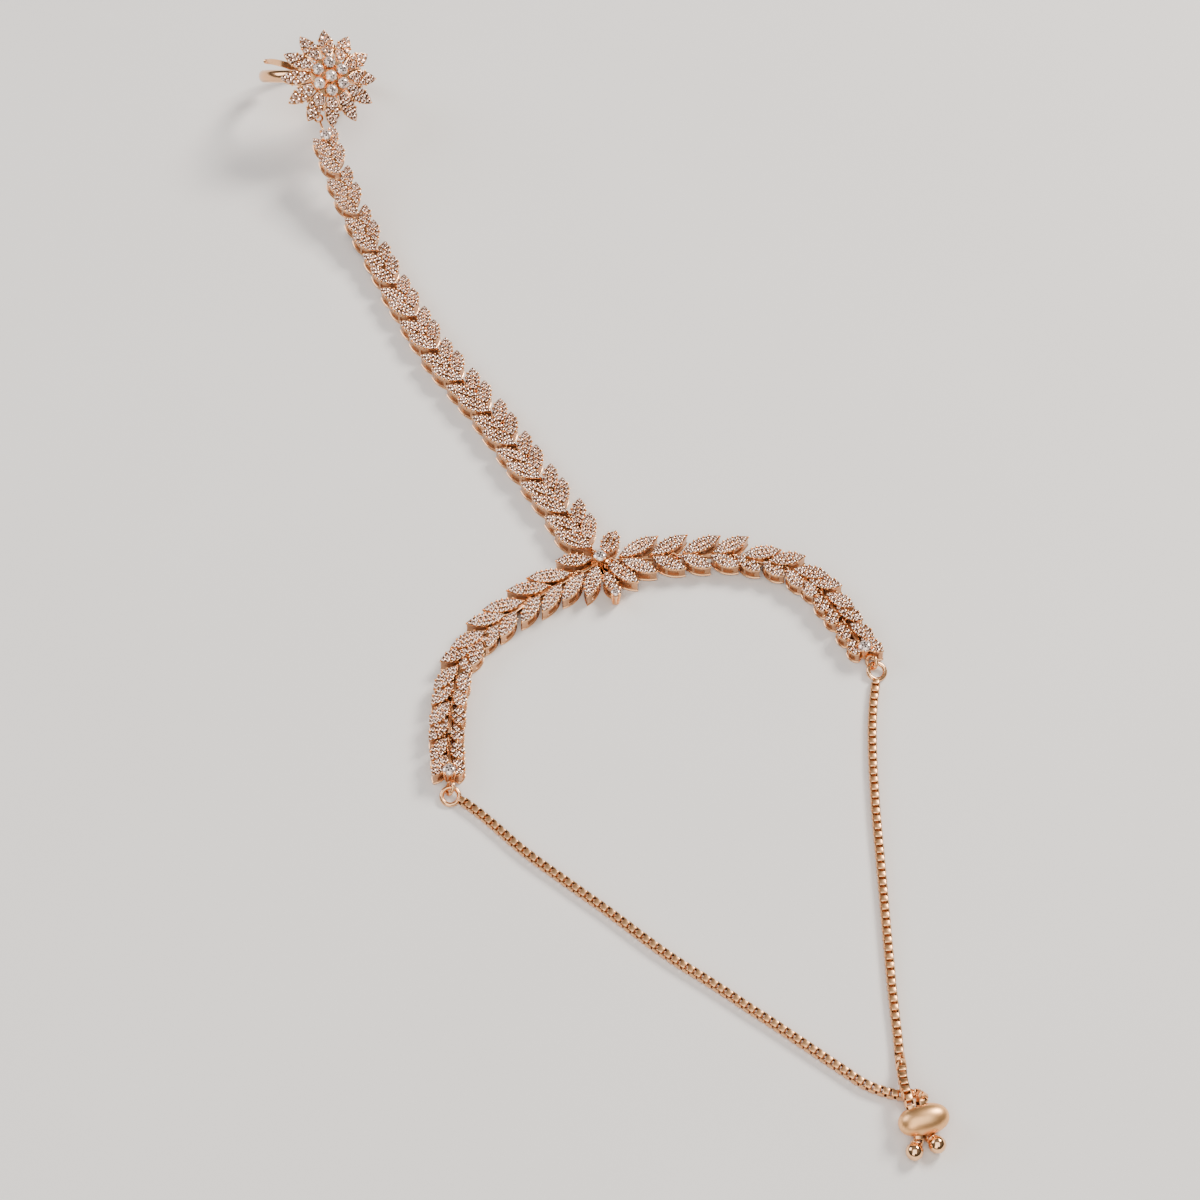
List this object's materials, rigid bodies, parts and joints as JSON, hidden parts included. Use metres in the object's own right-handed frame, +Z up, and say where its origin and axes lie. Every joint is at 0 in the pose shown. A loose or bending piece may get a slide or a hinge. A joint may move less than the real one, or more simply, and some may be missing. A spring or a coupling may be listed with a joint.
{
  "type": "hand harness",
  "caption": "Hand harness: open finger ring with a stone-set flower, hinged leaf-link chain over the hand, centre flower, leaf wings round the wrist and a sliding box-chain closure.",
  "frame": {"origin": "on the surface the part lies on, under the stone of the centre flower", "axes": "+X to the right along the right wing, +Y along the back of the hand toward the finger ring, +Z up from the surface"},
  "size_m": [0.1191, 0.2257, 0.0198],
  "materials": {
    "rose_gold": "polished rose gold plate",
    "stones": "faceted clear stones"
  },
  "bodies": {
    "root": {"ring_shank": "rose_gold", "ring_flower": "rose_gold", "finger_link_01": "rose_gold", "finger_link_02": "rose_gold", "finger_link_03": "rose_gold", "finger_link_04": "rose_gold", "finger_link_05": "rose_gold", "finger_link_06": "rose_gold", "finger_link_07": "rose_gold", "finger_link_08": "rose_gold", "finger_link_09": "rose_gold", "finger_link_10": "rose_gold", "finger_link_11": "rose_gold", "finger_link_12": "rose_gold", "centre_flower": "rose_gold", "right_wing_link_1": "rose_gold", "right_wing_link_2": "rose_gold", "right_wing_link_3": "rose_gold", "right_wing_link_4": "rose_gold", "right_wing_link_5": "rose_gold", "right_wing_link_6": "rose_gold", "left_wing_link_1": "rose_gold", "left_wing_link_2": "rose_gold", "left_wing_link_3": "rose_gold", "left_wing_link_4": "rose_gold", "left_wing_link_5": "rose_gold", "left_wing_link_6": "rose_gold", "right_end_ring": "rose_gold", "left_end_ring": "rose_gold", "right_box_chain": "rose_gold", "left_box_chain": "rose_gold", "slider_bead": "rose_gold", "end_bead_1": "rose_gold", "end_bead_2": "rose_gold"}
  },
  "joints": []
}
